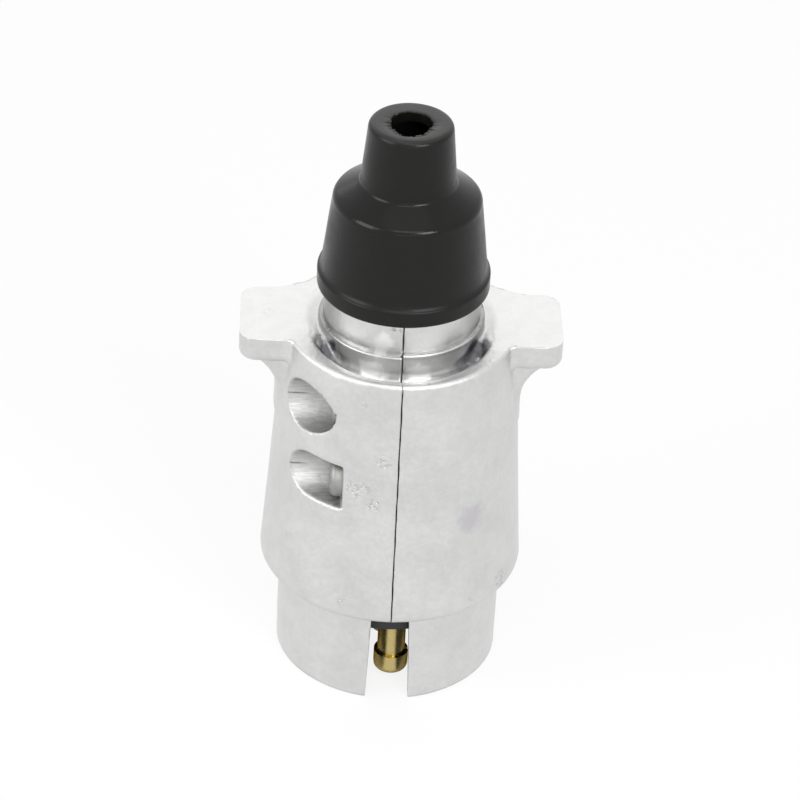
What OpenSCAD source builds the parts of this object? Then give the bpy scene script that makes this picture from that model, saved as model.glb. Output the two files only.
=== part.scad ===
// Seven-pin trailer plug, standing on the rim of its nose with the cable end up.
// The origin is the centre of the nose rim, +Z runs along the plug, the key slot
// faces -Y, and the casting is split into a left and a right half at X = 0.

/* [Nose] */
// Outer diameter of the round nose that enters the socket
nose_d = 39; // [38:0.1:40]
// Wall of the nose
nose_wall = 2.4; // [1.8:0.1:3]
// Height of the nose below the body
nose_h = 18.9; // [18:0.1:22]
// Width of the key slot where it meets the body
key_w = 6.4; // [5:0.1:8]
// How much wider the key slot is at the rim
key_draft = 1.1; // [0:0.1:1.5]

/* [Body] */
// Largest diameter of the body, just above the nose
belly_d = 45.7; // [44:0.1:50]
// Width of the rim in front of the recess round the neck
rim_w = 1.5; // [1.3:0.1:3]
// How far the rim falls from the ears to the front and to the back
rim_fall = 0.6; // [0.1:0.1:1]
// Height of the top plane above the body's lower edge
body_h = 48; // [44:0.2:56]
// Rounding of the body's lower edge
step_round = 1.6; // [0.6:0.1:2.4]
// Rounding of the body's top edge
rim_round = 1.2; // [0.4:0.1:2]
// Wall around the wiring chamber
body_wall = 2.6; // [2:0.1:3.2]
// Width of the recess between the neck and an ear
dish_w = 1.45; // [1:0.05:2.4]
// How much wider the recess is in front of the neck and behind it
dish_reach = 3; // [0.5:0.1:3]
// Depth of the recess around the neck
dish_depth = 3.6; // [2:0.1:4.5]
// Gap between the two halves
seam_gap = 0.2; // [0.1:0.05:0.4]

/* [Ears] */
// Distance across the two ears
ear_span = 54.6; // [52:0.2:60]
// Width of an ear from front to back
ear_w = 16.6; // [12:0.2:18]
// How far behind the middle of the plug the ears sit
ear_shift = 0.6; // [0:0.1:1]
// Thickness of an ear
ear_t = 4.8; // [3:0.1:6]
// Corner radius of an ear in plan
ear_corner = 3; // [1:0.1:4]
// Blend between the back edge of an ear and the body
ear_blend = 4; // [1:0.1:5]
// Width of the web under an ear
web_w = 14.6; // [6:0.2:15]
// How far the web reaches out under the ear
web_reach = 6; // [2:0.1:7]
// How far down the body the web runs
web_drop = 12; // [5:0.5:16]

/* [Neck] */
// Diameter of the spigot that the boot grips
spigot_d = 23; // [21:0.1:24]
// Length of the spigot
spigot_h = 11; // [9:0.2:12]
// Wall of the spigot
spigot_wall = 2; // [1.4:0.1:3]
// Depth of the spigot's retaining groove
groove_depth = 0.6; // [0.3:0.05:0.8]
// How much further out the neck stands than the spigot
neck_step = 1.8; // [1.4:0.05:2.2]
// How much further out the lower band stands than the neck
band_step = 0.75; // [0.5:0.05:1.2]
// Height of the lower band's ledge above the top plane
band_rise = 1.75; // [0:0.05:2.4]
// How much lower the ledge was cast on the left half
ledge_drop = 0.55; // [0:0.05:0.8]
// Height of the neck's shoulder above the top plane
neck_rise = 10.3; // [9:0.1:12]
// Height of the cable grip ribs inside the neck
grip_rib = 0.9; // [0.4:0.1:1.6]
// Number of cable grip ribs
grip_count = 3; // [1:1:4]

/* [Boot] */
// Wall of the boot's rim band over the neck
boot_rim_wall = 1.3; // [1.1:0.05:2.4]
// Height of the boot's rim band
boot_rim_h = 3.3; // [2:0.1:5]
// Height of the boot above the neck's shoulder
boot_rise = 28; // [26:0.2:32]
// Overlap of the boot over the neck below its shoulder
boot_skirt = 2.9; // [2:0.1:4]
// Wall over the neck, just above the rim band
boot_low_wall = 0.7; // [0.6:0.05:1]
// How much further out the boot's shoulder stands than the spigot
boot_high_wall = 1.05; // [0.8:0.05:1.5]
// Radius of the boot's round shoulder
boot_shoulder = 2.6; // [1.8:0.1:3]
// Slope of the boot between the shoulder and the nozzle, in degrees
boot_slope = 27; // [15:1:30]
// Height of the cable nozzle
nozzle_h = 10.5; // [10:0.1:12]
// Diameter at the foot of the nozzle
nozzle_low_d = 16.3; // [15:0.1:18]
// Diameter at the end of the nozzle
nozzle_high_d = 14.45; // [13:0.05:16]
// Wall of the boot
boot_wall = 1.6; // [1.2:0.1:2]
// Diameter of the cable hole
cable_hole_d = 6.7; // [4:0.1:9]
// Depth of the cable hole's lip
cable_lip = 1.8; // [1:0.1:3]

/* [Contacts] */
// Number of contacts on the ring, beside the one in the middle
ring_count = 6; // [6]
// Diameter of the circle through the ring contacts
ring_d = 23; // [22:0.1:24]
// How far the carrier with its ring of contacts sits turned from the key slot, in degrees
ring_turn = 3.6; // [0:0.2:4]
// Diameter of a contact's shank
pin_d = 4.9; // [4:0.1:5.2]
// Diameter of a contact's head
pin_head_d = 6.05; // [5.4:0.05:6.4]
// Height of a contact's head
pin_head_h = 3.8; // [3:0.1:5]
// How far a contact's tip stays inside the nose rim
pin_inset = 1.4; // [0.8:0.1:3]
// Rounding of a contact's tip
pin_round = 1.1; // [0.4:0.1:1.4]
// Width of the saw cut that splits a contact
pin_slot = 0.7; // [0.4:0.1:1]
// Length of the saw cut
pin_slot_h = 9; // [6:0.5:11]
// Diameter of the wire barrel behind the carrier
barrel_d = 6.5; // [6.2:0.1:7]
// Height of the barrel behind the carrier
barrel_h = 12; // [10:0.5:12]
// Diameter of the wire hole in a barrel
wire_hole_d = 3.5; // [2.5:0.1:4]
// Depth of the wire hole
wire_hole_h = 9; // [6:0.5:10]

/* [Carrier] */
// Thickness of the carrier in front of its flange
carrier_front = 6; // [4:0.1:7]
// Diameter of the carrier's flange
flange_d = 37.2; // [36:0.1:38]
// Thickness of the flange
flange_h = 2.8; // [2:0.1:3.4]
// Diameter of the carrier behind its flange
carrier_back_d = 32.2; // [31.4:0.1:33]
// Thickness of the carrier behind its flange
carrier_back = 3.5; // [2.5:0.1:5]
// Depth of the seats for the barrels
barrel_seat = 4; // [2:0.1:4]

/* [Screws] */
// Distance of the upper screws from the belly's outside, front and back
upper_screw_inset = 10.25; // [9.5:0.05:11]
// Height of the upper screws above the body's lower edge
upper_screw_z = 38.3; // [37:0.1:39]
// Diameter of the upper screw pockets
upper_pocket_d = 9.1; // [8.4:0.1:9.6]
// Distance of the lower screws from the belly's outside, front and back
lower_screw_inset = 7.65; // [7.2:0.05:8.3]
// Height of the lower screws above the body's lower edge
lower_screw_z = 25.9; // [25:0.1:26.5]
// Diameter of the lower screw pockets, which are open to the outside
lower_pocket_d = 8.3; // [7.8:0.1:8.8]
// Distance of the pocket floors from the seam
pocket_floor = 9.2; // [7:0.1:10]
// Material around a pocket
boss_wall = 1.7; // [1.2:0.1:2]
// Diameter of the tapped bosses in the right half
tapped_boss_d = 8.4; // [7:0.1:9]
// Length of the tapped bosses
tapped_boss_h = 12; // [10:0.5:14]
// Diameter of a shell screw
screw_d = 3.8; // [3:0.1:4]
// Diameter of its head
screw_head_d = 7; // [6:0.1:7.4]
// Height of its head
screw_head_h = 2.2; // [1.6:0.1:3]
// Engaged length of a shell screw in the right half
screw_grip = 9; // [6:0.5:10]
// Diameter of a terminal screw
terminal_d = 2.5; // [2:0.1:3]
// Diameter of a terminal screw's head
terminal_head_d = 4.2; // [3:0.1:4.6]
// Height of a terminal screw's head
terminal_head_h = 1.5; // [1:0.1:1.8]

/* [Hidden] */

$fn = 96;
fit = 0.1;          // clearance between parts that seat in each other
slide = 0.2;        // clearance of the carrier in the nose
edge = 0.4;         // small chamfer on an edge
cut = 1;            // overrun of a cutting shape
big = 200;          // larger than the whole plug

nose_r = nose_d / 2;
bore_r = nose_r - nose_wall;
belly_r = belly_d / 2;
spigot_r = spigot_d / 2;
neck_bore_r = spigot_r - spigot_wall;
neck_r = spigot_r + neck_step;
band_r = neck_r + band_step;
dish_r = band_r + dish_w;
top_r = dish_r + dish_reach + rim_w;
upper_screw_y = belly_r - upper_screw_inset;
lower_screw_y = belly_r - lower_screw_inset;

body_z = nose_h;
top_z = body_z + body_h;
dish_z = top_z - dish_depth;
roof_z = dish_z - body_wall;
ledge_z = top_z + band_rise;
shoulder_z = top_z + neck_rise;
spigot_z = shoulder_z + spigot_h;
bead_z = shoulder_z + spigot_h / 2;
bead_h = 1.8;

// The carrier's flange sits in a groove just above the key slot
flange_r = flange_d / 2;
carrier_r = bore_r - slide;
carrier_back_r = carrier_back_d / 2;
flange_z = body_z + slide + fit;
flange_top = flange_z + flange_h;
carrier_z = flange_z - carrier_front;
carrier_top = flange_top + carrier_back;
land_h = 2;
land_r = carrier_back_r + slide;
chamber_z = flange_top + fit + land_h;
chamber_r = belly_r - body_wall;

pin_r = pin_d / 2;
pin_head_r = pin_head_d / 2;
barrel_r = barrel_d / 2;
head_z = pin_inset + pin_head_h;
barrel_z = carrier_top - barrel_seat;
barrel_top = carrier_top + barrel_h;
terminal_z = barrel_top - 3.5;
terminal_head_r = terminal_head_d / 2;

boot_z = shoulder_z - boot_skirt;
boot_top = shoulder_z + boot_rise;
boot_rim_r = neck_r + boot_rim_wall;
boot_low_r = neck_r + boot_low_wall;
boot_high_r = spigot_r + boot_high_wall;
nozzle_low_r = nozzle_low_d / 2;
nozzle_high_r = nozzle_high_d / 2;

// Points along an arc of a profile
function arc(x, y, r, from, to, steps = 8) =
    [for (i = [0:steps]) let (a = from + (to - from) * i / steps) [x + r * cos(a), y + r * sin(a)]];

// The body's side, a gentle curve from the belly to the top plane
belly_z = body_z + step_round;
side_z = top_z - rim_round;
side_bend_r = belly_r - 0.58 * (belly_r - top_r);
side_bend_z = (belly_z + side_z) / 2 - 1;
side_lean = 15;     // where the roundings of its ends begin, in degrees from level
function bend(a, b, c, t) = (1 - t) * (1 - t) * a + 2 * t * (1 - t) * b + t * t * c;
function side(inset) = [for (i = [0:12]) let (t = i / 12)
    [bend(belly_r, side_bend_r, top_r, t) - inset, bend(belly_z, side_bend_z, side_z, t)]];

// Wall of the recess round the neck, level at its floor and steep at the rim
function dish_wall() = [for (i = [0:8]) let (a = 90 * i / 8)
    [band_r + (dish_r - band_r) * sin(a), top_z - dish_depth * cos(a)]];

// Places its children at contact i: the ring starts behind the key slot, the last is in the middle
module at_contact(i) {
    on_ring = i <= ring_count;
    rotate([0, 0, on_ring ? ring_turn - 90 + (i - 1) * 360 / ring_count : 0])
        translate([on_ring ? ring_d / 2 : 0, 0, 0]) children();
}

// Places its children on a shell screw's axis, with -Y outwards
module at_screw(front, upper) {
    y = upper ? upper_screw_y : lower_screw_y;
    z = upper ? upper_screw_z : lower_screw_z;
    mirror([0, front ? 0 : 1, 0]) translate([0, -y, body_z + z]) children();
}

// Outside of the nose and body, closed at the top plane
module body_form() {
    rotate_extrude() polygon(concat(
        [[0, 0], [nose_r - edge, 0], [nose_r, edge], [nose_r, body_z]],
        arc(belly_r - step_round, belly_z, step_round, -90, -side_lean, 5),
        side(0),
        arc(top_r - rim_round, side_z, rim_round, side_lean, 90, 5),
        [[0, top_z]]));
}

// Outside of the neck and of the spigot under the boot
module neck_form(ledge) {
    rotate_extrude() polygon(
        [[0, roof_z], [band_r, roof_z], [band_r, ledge - edge / 2], [band_r - edge / 2, ledge],
         [neck_r, ledge], [neck_r, shoulder_z - edge], [neck_r - edge, shoulder_z], [spigot_r, shoulder_z],
         [spigot_r, bead_z], [spigot_r - groove_depth, bead_z],
         [spigot_r - groove_depth, bead_z + bead_h], [spigot_r, bead_z + bead_h],
         [spigot_r, spigot_z - 2 * edge], [spigot_r - 2 * edge, spigot_z], [0, spigot_z]]);
}

// Recess in the top plane around the neck, longer from front to back than from ear to ear
module dish_form() {
    wall = dish_wall();
    for (y = [-dish_reach, dish_reach]) translate([0, y, 0])
        rotate_extrude() polygon(concat([[0, dish_z]], wall, [[dish_r, top_z + cut], [0, top_z + cut]]));
    rotate([90, 0, 0]) linear_extrude(2 * dish_reach, center = true)
        for (side = [0, 1]) mirror([side, 0])
            polygon(concat([[0, dish_z]], wall, [[dish_r, top_z + cut], [0, top_z + cut]]));
}

// What the rim loses where it falls to the front and to the back
module rim_cut() {
    ear_back = ear_shift + ear_w / 2;
    rotate([90, 0, 90]) linear_extrude(big, center = true) for (side = [0, 1]) mirror([side, 0])
        polygon([[ear_back, top_z], [top_r, top_z - rim_fall], [top_r + cut, top_z - rim_fall],
            [top_r + cut, top_z + cut], [ear_back, top_z + cut]]);
}

// The whole plug without its cavities
module solid_form(ledge) {
    difference() {
        union() {
            difference() {
                body_form();
                rim_cut();
            }
            translate([0, 0, top_z - ear_t]) linear_extrude(ear_t) ear_plan();
            ear_web();
        }
        dish_form();
    }
    neck_form(ledge);
}

// Inside of the nose, carrier groove, wiring chamber and neck
module inner_form() {
    bevel_z = chamber_z + chamber_r - land_r;
    rotate_extrude() polygon(concat(
        [[0, -cut], [bore_r, -cut], [bore_r, flange_z - fit], [flange_r + fit, flange_z - fit],
         [flange_r + fit, flange_top + fit], [land_r, flange_top + fit], [land_r, chamber_z],
         [chamber_r, bevel_z]],
        [for (p = side(body_wall)) if (p[1] > bevel_z + edge && p[1] < roof_z - body_wall) p],
        [[top_r - 2 * body_wall, roof_z], [neck_bore_r, roof_z],
         [neck_bore_r, spigot_z + cut], [0, spigot_z + cut]]));
}

// Ribs round the neck bore that bite into the cable's sheath
module grip_ribs() {
    pitch = (spigot_z - roof_z) / (grip_count + 1);
    for (i = [1:grip_count]) translate([0, 0, roof_z + i * pitch])
        rotate_extrude() polygon([[neck_bore_r + edge, -grip_rib - edge], [neck_bore_r, -grip_rib],
            [neck_bore_r - grip_rib, -edge / 2], [neck_bore_r - grip_rib, edge / 2],
            [neck_bore_r, grip_rib], [neck_bore_r + edge, grip_rib + edge]]);
}

// Plan of both ears, with round outer corners and a blend behind each ear
module ear_plan() {
    back = ear_shift + ear_w / 2;
    blend_y = back + ear_blend;
    blend_x = sqrt(pow(top_r + ear_blend, 2) - pow(blend_y, 2));
    share = top_r / (top_r + ear_blend);
    corner_x = ear_span / 2 - ear_corner;
    corner_y = ear_w / 2 - ear_corner;
    translate([0, ear_shift]) {
        square([ear_span, 2 * corner_y], center = true);
        square([2 * corner_x, ear_w], center = true);
        for (x = [-1, 1], y = [-1, 1]) translate([x * corner_x, y * corner_y]) circle(r = ear_corner);
    }
    for (x = [-1, 1]) difference() {
        polygon([[x * blend_x, back - edge], [x * blend_x, blend_y],
            [x * blend_x * share, blend_y * share], [x * (top_r - body_wall), back - edge]]);
        translate([x * blend_x, blend_y]) circle(r = ear_blend);
    }
}

// Web that carries the ears, hollowed towards the body's side
module ear_web() {
    under = top_z - ear_t;
    inner_x = top_r - body_wall / 2;
    translate([0, ear_shift, 0]) rotate([90, 0, 0]) linear_extrude(web_w, center = true)
        for (x = [-1, 1]) polygon(concat(
            [[x * inner_x, under - web_drop], [x * inner_x, under + edge],
             [x * (top_r + web_reach), under + edge]],
            [for (i = [0:8]) let (a = 90 * i / 8)
                [x * (top_r + web_reach * (1 - sin(a))), under - web_drop * (1 - cos(a))]]));
}

// Outline of a pocket or boss, closed or open towards the outside
module round_or_open(d, open) {
    circle(d = d);
    if (open) translate([-d / 2, -big]) square([d, big]);
}

// The pocket that a screw head sinks into, with extra material all round when it is grown
module pocket(upper, grow, floor_x) {
    translate([-floor_x, 0, 0]) rotate([0, -90, 0]) linear_extrude(big)
        round_or_open((upper ? upper_pocket_d : lower_pocket_d) + 2 * grow, !upper);
}

// Casting on one side of the seam: side is -1 on the left and 1 on the right,
// and its children are the bosses inside it
module half_shell(side, ledge) {
    intersection() {
        union() {
            difference() {
                solid_form(ledge);
                difference() {
                    inner_form();
                    difference() {
                        children();
                        translate([0, 0, roof_z]) cylinder(r = neck_bore_r, h = big);
                    }
                }
            }
            grip_ribs();
        }
        translate([side < 0 ? -big - seam_gap / 2 : seam_gap / 2, -big / 2, -cut]) cube(big);
    }
}

// Key slot through the front of the nose, a little wider at the rim
module key_slot() {
    rotate([90, 0, 0]) linear_extrude(big) polygon([
        [-(key_w + key_draft) / 2, 0], [-(key_w + key_draft) / 2, -cut],
        [(key_w + key_draft) / 2, -cut], [(key_w + key_draft) / 2, 0],
        [key_w / 2, body_z], [-key_w / 2, body_z]]);
}

// Left casting, with a pocket and a clearance hole for each screw
module left_shell() {
    color("gainsboro") difference() {
        half_shell(-1, ledge_z - ledge_drop)
            for (front = [true, false], upper = [true, false])
                at_screw(front, upper) pocket(upper, boss_wall, 0);
        key_slot();
        for (front = [true, false], upper = [true, false]) at_screw(front, upper) {
            pocket(upper, 0, pocket_floor);
            rotate([0, -90, 0]) cylinder(d = screw_d + 2 * slide, h = pocket_floor + cut);
        }
    }
}

// Right casting, with a tapped boss for each screw
module right_shell() {
    color("gainsboro") difference() {
        half_shell(1, ledge_z)
            for (front = [true, false], upper = [true, false]) at_screw(front, upper)
                rotate([0, 90, 0]) linear_extrude(tapped_boss_h) round_or_open(tapped_boss_d, true);
        key_slot();
        for (front = [true, false], upper = [true, false]) at_screw(front, upper)
            rotate([0, 90, 0]) cylinder(d = screw_d + 2 * fit, h = screw_grip + 1);
    }
}

// Soft boot that slips over the neck and closes round the cable
module cable_boot() {
    foot_z = boot_top - nozzle_h;
    bend_x = boot_high_r - boot_shoulder;
    slope_x = bend_x + boot_shoulder * sin(boot_slope);
    bend_z = foot_z - (slope_x - nozzle_low_r) * tan(boot_slope) - boot_shoulder * cos(boot_slope);
    tip_round = 1.1;
    seat_r = spigot_r + fit;
    color([0.17, 0.17, 0.16]) rotate_extrude() polygon(concat(
        [[neck_r + fit, boot_z], [boot_rim_r - edge, boot_z], [boot_rim_r, boot_z + edge],
         [boot_rim_r, boot_z + boot_rim_h - 2 * edge], [boot_rim_r - edge, boot_z + boot_rim_h],
         [boot_low_r, boot_z + boot_rim_h + 4 * edge]],
        arc(bend_x, bend_z, boot_shoulder, 0, 90 - boot_slope, 6),
        [[nozzle_low_r + edge, foot_z - edge / 2], [nozzle_low_r, foot_z + edge]],
        arc(nozzle_high_r - tip_round, boot_top - tip_round, tip_round, 0, 90, 5),
        [[cable_hole_d / 2, boot_top], [cable_hole_d / 2, boot_top - cable_lip],
         [nozzle_high_r - boot_wall, boot_top - cable_lip - edge],
         [nozzle_low_r - boot_wall, foot_z - boot_wall + edge]],
        arc(bend_x, bend_z, boot_shoulder - boot_wall, 90 - boot_slope, 0, 4),
        [[boot_high_r - boot_wall, spigot_z + 3 * edge], [seat_r, spigot_z + edge],
         [seat_r, bead_z + bead_h - fit], [seat_r - groove_depth, bead_z + bead_h - fit],
         [seat_r - groove_depth, bead_z + fit], [seat_r, bead_z + fit],
         [seat_r, shoulder_z + fit], [neck_r + fit, shoulder_z + fit]]));
}

// Moulded carrier that holds the contacts, clamped between the castings by its flange
module pin_carrier() {
    color([0.2, 0.2, 0.22]) difference() {
        rotate_extrude() polygon([[0, carrier_z], [carrier_r - edge, carrier_z],
            [carrier_r, carrier_z + edge], [carrier_r, flange_z], [flange_r, flange_z],
            [flange_r, flange_top], [carrier_back_r, flange_top], [carrier_back_r, carrier_top],
            [0, carrier_top]]);
        for (i = [1:ring_count + 1]) at_contact(i) {
            translate([0, 0, carrier_z - cut]) cylinder(d = pin_d + 2 * fit, h = big);
            translate([0, 0, barrel_z - fit]) cylinder(d = barrel_d + 2 * fit, h = big);
        }
    }
}

// Turned contact: a split pin in front of the carrier and a wire barrel behind it
module contact_pin(i) {
    color([0.71, 0.64, 0.28]) at_contact(i) difference() {
        rotate_extrude() polygon(concat(
            [[0, pin_inset]],
            arc(pin_head_r - pin_round, pin_inset + pin_round, pin_round, -90, 0, 6),
            [[pin_head_r, head_z], [pin_r, head_z], [pin_r, barrel_z], [barrel_r, barrel_z],
             [barrel_r, barrel_top - edge], [barrel_r - edge, barrel_top], [0, barrel_top]]));
        translate([-pin_slot / 2, -pin_head_r - cut, 0])
            cube([pin_slot, pin_head_d + 2 * cut, pin_inset + pin_slot_h]);
        translate([0, 0, barrel_top - wire_hole_h]) cylinder(d = wire_hole_d, h = wire_hole_h + cut);
        translate([0, 0, terminal_z]) rotate([0, 90, 0])
            cylinder(d = terminal_d + 2 * fit, h = barrel_r + cut);
    }
}

// Slotted screw that holds a wire in a barrel
module terminal_screw(i) {
    slot_w = 0.6;
    color("silver") at_contact(i) translate([barrel_r + fit / 2, 0, terminal_z]) rotate([0, 90, 0])
        difference() {
            union() {
                cylinder(d = terminal_head_d, h = terminal_head_h);
                translate([0, 0, edge - barrel_r]) cylinder(d = terminal_d, h = barrel_r);
            }
            translate([-terminal_head_r - cut, -slot_w / 2, terminal_head_h / 2])
                cube([terminal_head_d + 2 * cut, slot_w, terminal_head_h]);
        }
}

// Pan-head screw with a cross recess, from a pocket into a tapped boss
module shell_screw(front, upper) {
    head_r = screw_head_d / 2;
    dome = screw_head_h / 2;
    tip = pocket_floor + screw_grip;
    recess_w = 0.9;
    recess_l = 0.55 * screw_head_d;
    color("silver") at_screw(front, upper) translate([-pocket_floor, 0, 0]) rotate([0, 90, 0])
        difference() {
            rotate_extrude() polygon(concat(
                [[0, -screw_head_h]],
                arc(head_r - dome, dome - screw_head_h, dome, -90, 0, 5),
                [[head_r, 0], [screw_d / 2, 0], [screw_d / 2, tip - 2 * edge],
                 [screw_d / 2 - 2 * edge, tip], [0, tip]]));
            for (a = [0, 90]) rotate([0, 0, a])
                translate([-recess_l / 2, -recess_w / 2, -screw_head_h - cut])
                    cube([recess_l, recess_w, dome + cut]);
        }
}

left_shell();
right_shell();
cable_boot();
pin_carrier();
for (i = [1:ring_count + 1]) {
    contact_pin(i);
    terminal_screw(i);
}
shell_screw(true, true);  // screw_front_upper
shell_screw(true, false);  // screw_front_lower
shell_screw(false, true);  // screw_back_upper
shell_screw(false, false);  // screw_back_lower
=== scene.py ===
"""Looks of the trailer plug: camera, studio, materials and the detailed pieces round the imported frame."""
import math

import bpy
import numpy as np
from mathutils import Matrix, Vector


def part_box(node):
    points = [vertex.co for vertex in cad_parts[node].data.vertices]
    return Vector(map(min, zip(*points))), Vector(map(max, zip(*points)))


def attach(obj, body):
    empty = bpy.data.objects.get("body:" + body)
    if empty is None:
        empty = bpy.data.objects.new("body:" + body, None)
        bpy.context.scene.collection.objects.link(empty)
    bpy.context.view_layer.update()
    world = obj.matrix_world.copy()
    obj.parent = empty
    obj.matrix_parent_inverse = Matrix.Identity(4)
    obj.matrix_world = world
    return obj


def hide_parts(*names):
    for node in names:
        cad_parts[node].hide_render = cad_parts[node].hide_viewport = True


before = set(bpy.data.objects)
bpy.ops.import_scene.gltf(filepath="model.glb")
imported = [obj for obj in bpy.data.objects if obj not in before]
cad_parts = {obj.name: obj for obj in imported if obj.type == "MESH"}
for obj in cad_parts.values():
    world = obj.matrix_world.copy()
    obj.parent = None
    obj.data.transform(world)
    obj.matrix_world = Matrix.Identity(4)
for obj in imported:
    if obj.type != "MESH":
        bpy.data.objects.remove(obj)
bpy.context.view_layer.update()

MM = 0.001

# Camera, as the photograph was taken
CAMERA_ELEVATION = 34.12
CAMERA_AZIMUTH = -2.5
CAMERA_ROLL = 3.05
CAMERA_DISTANCE = 600 * MM
CAMERA_TARGET = Vector((0.5 * MM, 0, 50.3 * MM))
FRAME_WIDTH = 800
FOCAL_PIXELS = 3488
SENSOR_MM = 36

# Light of the studio outside the panels
WORLD_LEVEL = 0.55

# Floor: half its side in metres, its own grey, the share of pure white where it is seen,
# and how much of that the reflections see in the painted shadow under the plug
FLOOR_REACH = 3
FLOOR_GREY = 0.9
FLOOR_GLOW = 0.86
PAINTED_SHADOW_GLOW = 0.32

# Soft panels: name, place, width and height in metres, and power in watts
PANELS = [
    ("left", (-0.8, -0.35, 0.45), 0.5, 0.6, 3.9),
    ("right", (0.45, -0.8, 0.6), 0.4, 0.4, 4.4),
    ("behind", (0, 0.85, 0.6), 1.2, 0.5, 1.2),
    ("above", (0, 0, 1.0), 0.6, 0.6, 0.3),
    ("upper front", (0, -0.6, 0.85), 0.6, 0.4, 1.4),
    ("front", (0, -1.0, 0.15), 0.6, 0.25, 0.35)]
PANEL_TARGET = Vector((0, 0, 50 * MM))

# Sizes of the castings in millimetres, as in the part's source
NOSE_R, BORE_R, NOSE_H = 19.5, 17.1, 18.9
KEY_W, KEY_DRAFT = 6.4, 1.1
BELLY_R, TOP_R, BODY_H = 22.85, 20.0, 48.0
STEP_ROUND, RIM_ROUND, RIM_FALL, BODY_WALL = 1.6, 1.2, 0.6, 2.6
DISH_R, DISH_REACH, DISH_DEPTH = 15.5, 3.0, 3.6
SEAM_GAP = 0.2
EAR_SPAN, EAR_W, EAR_SHIFT, EAR_T, EAR_CORNER, EAR_BLEND = 54.6, 16.6, 0.6, 4.8, 3.0, 4.0
WEB_W, WEB_REACH, WEB_DROP = 14.6, 6.0, 12.0
BAND_R, NECK_R, SPIGOT_R, NECK_BORE_R = 14.05, 13.3, 11.5, 9.5
BAND_RISE, LEDGE_DROP, NECK_RISE, SPIGOT_H = 1.75, 0.55, 10.3, 11.0
GRIP_RIB, GRIP_COUNT = 0.9, 3
FLANGE_R, FLANGE_H, CARRIER_BACK_R, LAND_H = 18.6, 2.8, 16.1, 2.0
UPPER_SCREW_Y, UPPER_SCREW_Z, UPPER_POCKET_R = 12.6, 38.3, 4.55
LOWER_SCREW_Y, LOWER_SCREW_Z, LOWER_POCKET_R = 15.2, 25.9, 4.15
POCKET_FLOOR, BOSS_WALL, TAPPED_BOSS_R, TAPPED_BOSS_H = 9.2, 1.7, 4.2, 12.0
SCREW_R, SCREW_GRIP, HOLE_SPARE = 1.9, 9.0, 1.0
FIT, SLIDE, EDGE = 0.1, 0.2, 0.4

# Curve of the body's side: how much of the taper its middle point has, how far that
# point lies below the middle, and into how many lengths the curve is divided
SIDE_TAPER, SIDE_DROP, SIDE_STEPS = 0.58, 1, 12

# Where the recess deepens: distance from its middle, length over which it does so, and how
# far that middle lies behind the axis
DISH_SIDE, DISH_ONSET, DISH_MIDDLE_Y = 7.6, 8.0, 3.0
# Fall of its floor at the sides, and share of its width that its wall takes elsewhere
DISH_SLOPE, DISH_WALL = 0.25, 0.9
# How strongly its wall bends at the sides, and how much more in front and at the back
DISH_BEND, DISH_BEND_GROWTH = 1.05, 1.45

# Draft of the webs, and how far they reach into the ears
WEB_DRAFT, WEB_OVERLAP = 0.2, 1.0

# Roundings of the castings
EAR_ROUND, EAR_BLEND_FRONT, TOP_EDGE, TOP_EDGE_FADE = 1.5, 0.6, 0.65, 0.8
BAND_ROUND, DISH_FLOOR_ROUND, DISH_RIM_ROUND = 0.22, 0.2, 0.4
NECK_FILLET, NECK_FILLET_GROWTH = 0.4, 1.5
POCKET_FLOOR_ROUND, POCKET_MOUTH_ROUND, KEY_ROUND, SEAM_ROUND = 0.5, 0.3, 0.25, 0.12

# The key slot cuts the nose only in front of this distance from the axis
KEY_START = 8

# Unevenness of the cast skin, the height over which it sets in above the rim, its number of
# waves and their seed, and how far the seam wavers
SKIN_WAVE, SKIN_FADE, WAVE_COUNT, WAVE_SEED = 0.05, 2, 7, 7
SEAM_WAVE = 0.035

# Overruns of the turned outlines past the top plane and past the open ends, and how far
# the first one leans in
TOP_OVERRUN, END_OVERRUN, OVERRUN_LEAN = 8, 3, 0.1

# Sizes of the boot
BOOT_RIM_R, BOOT_RIM_H, BOOT_SKIRT, BOOT_RISE = 14.6, 3.3, 2.9, 28.0
BOOT_LOW_R, BOOT_HIGH_R, BOOT_SHOULDER, BOOT_SLOPE, BOOT_WALL = 14.0, 12.5, 1.4, 30, 1.6
NOZZLE_H, NOZZLE_LOW_R, NOZZLE_HIGH_R, TIP_ROUND = 11.2, 8.0, 7.1, 1.1
CABLE_HOLE_R, CABLE_LIP = 3.35, 1.8
BEAD_H, GROOVE_DEPTH = 1.8, 0.6
# Its edges: chamfers at both ends, rounding of the rim band below and above, how far that
# upper rounding lies below the band's end, and rounding at the nozzle's foot and its height
SKIRT_CHAMFER, HOLE_CHAMFER = 0.2, 0.15
RIM_LOW_ROUND, RIM_HIGH_ROUND, RIM_HIGH_DROP = 0.5, 0.45, 0.6
FOOT_ROUND, FOOT_LIFT = 0.9, 0.6
# Hollow above the rim band: how far it flares, and where it starts and ends above the band
FLARE, FLARE_LOW, FLARE_HIGH = 0.12, 0.1, 0.5

# Mesh of the boot: longest side of its section, and number of sides round its axis
BOOT_STEP = 0.5
BOOT_TURNS = 224
# Unevenness of its skin, as a share of its radius
BOOT_SWELL = 0.003

# Tear at the front of the cable hole: reach from the axis, direction, widening and depth
TEAR_R = 4.9
TEAR_ANGLE = math.radians(-100)
TEAR_WIDTH = 0.35
TEAR_DEPTH = 0.55
# Depth below the boot's end at which the tear ends, and the length over which it fades
TEAR_END, TEAR_FADE = 1.3, 0.9
# Small cuts round the hole: their size, and their waves' number round the hole, height and phase
RAGGED = 0.1
RAGGED_WAVES = [(3, 1, 0.6), (7, 0.7, 2.1), (16, 0.5, 0), (29, 0.4, 1)]
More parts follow.
